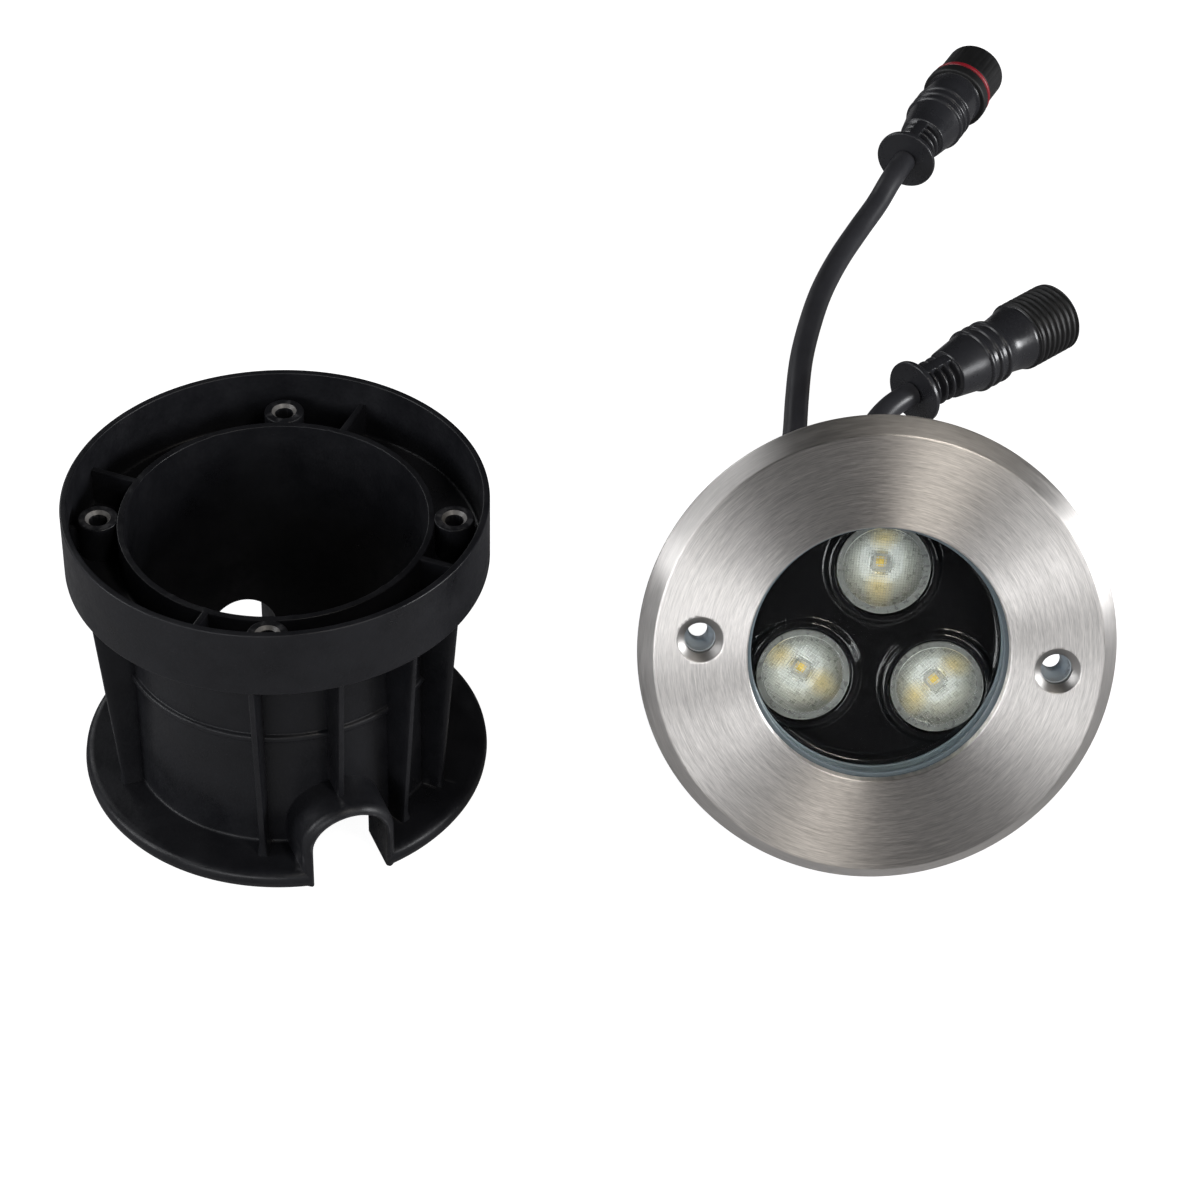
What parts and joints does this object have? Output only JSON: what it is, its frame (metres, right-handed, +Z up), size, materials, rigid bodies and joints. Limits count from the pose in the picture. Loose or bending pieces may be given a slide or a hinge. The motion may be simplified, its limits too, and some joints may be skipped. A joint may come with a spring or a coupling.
{
  "type": "recessed pond light with mounting sleeve",
  "caption": "Round stainless recessed pond light with lensed emitters behind glass, cable tails with in-line connectors, and its moulded mounting sleeve beside it.",
  "frame": {"origin": "on the bench, under the middle of the sleeve and the lamp, without the tails", "axes": "+Z up from the bench, +X from the sleeve towards the lamp, -Y towards the side that the lamp's face looks to"},
  "size_m": [0.2613, 0.3501, 0.1],
  "materials": {
    "sleeve_plastic": "satin moulded, charcoal black",
    "brushed_steel": "concentric brushing, bright bevel",
    "clear_glass": "polished clear",
    "gloss_black": "gloss",
    "board_white": "satin solder mask",
    "thermal_pad": "matte",
    "cast_body": "black powder coat",
    "driver_green": "satin solder mask",
    "rear_plastic": "satin",
    "grey_silicone": "satin, slightly translucent blue grey",
    "lens_clear": "clear moulded, patterned face",
    "holder_black": "satin",
    "phosphor": "matte",
    "screw_steel": "plain bright",
    "seal_rubber": "matte",
    "gland_plastic": "satin",
    "cord_rubber": "satin",
    "connector_rubber": "satin to gloss",
    "red_seal": "satin",
    "carrier_plastic": "satin",
    "contact_brass": "polished"
  },
  "bodies": {
    "sleeve": {"mounting_sleeve": "sleeve_plastic"},
    "lamp": {"trim_ring": "brushed_steel", "front_glass_gasket": "grey_silicone", "window_glass": "clear_glass", "rear_glass_gasket": "grey_silicone", "inner_cover": "gloss_black", "lens_1": "lens_clear", "lens_holder_1": "holder_black", "emitter_1": "phosphor", "lens_2": "lens_clear", "lens_holder_2": "holder_black", "emitter_2": "phosphor", "lens_3": "lens_clear", "lens_holder_3": "holder_black", "emitter_3": "phosphor", "led_board": "board_white", "thermal_pad": "thermal_pad", "lamp_housing": "cast_body", "driver_board": "driver_green", "rear_cover": "rear_plastic", "rear_cover_seal": "seal_rubber", "ring_screw_1": "screw_steel", "cover_screw_1": "screw_steel", "ring_screw_2": "screw_steel", "cover_screw_2": "screw_steel", "ring_screw_3": "screw_steel", "cover_screw_3": "screw_steel", "ring_screw_4": "screw_steel", "cover_screw_4": "screw_steel", "hole_grommet_1": "grey_silicone", "gland_body_1": "gland_plastic", "gland_seal_1": "seal_rubber", "lead_core_1": "cord_rubber", "hole_grommet_2": "grey_silicone", "gland_body_2": "gland_plastic", "gland_seal_2": "seal_rubber", "lead_core_2": "cord_rubber", "plug_body": "connector_rubber", "plug_seal": "red_seal", "plug_carrier": "carrier_plastic", "plug_pin_1": "contact_brass", "plug_pin_2": "contact_brass", "socket_body": "connector_rubber", "socket_carrier": "carrier_plastic", "socket_contact_1": "contact_brass", "socket_contact_2": "contact_brass", "plug_tail": "cord_rubber", "socket_tail": "cord_rubber"},
    "nut_1": {"gland_nut_1": "gland_plastic"},
    "nut_2": {"gland_nut_2": "gland_plastic"}
  },
  "joints": [
    {"name": "lamp_lift", "type": "slide", "parent": "sleeve", "child": "lamp", "axis": [0, 0, 1], "range_m": [0, 0.12]},
    {"name": "nut_1_turn", "type": "hinge", "parent": "lamp", "child": "nut_1", "pos_m": [0.05315, 0.03971, 0.02327], "axis": [0, 0.9065, -0.4223], "range_deg": [0, 540]},
    {"name": "nut_2_turn", "type": "hinge", "parent": "lamp", "child": "nut_2", "pos_m": [0.07905, 0.03871, 0.02113], "axis": [0, 0.9065, -0.4223], "range_deg": [0, 540]}
  ]
}
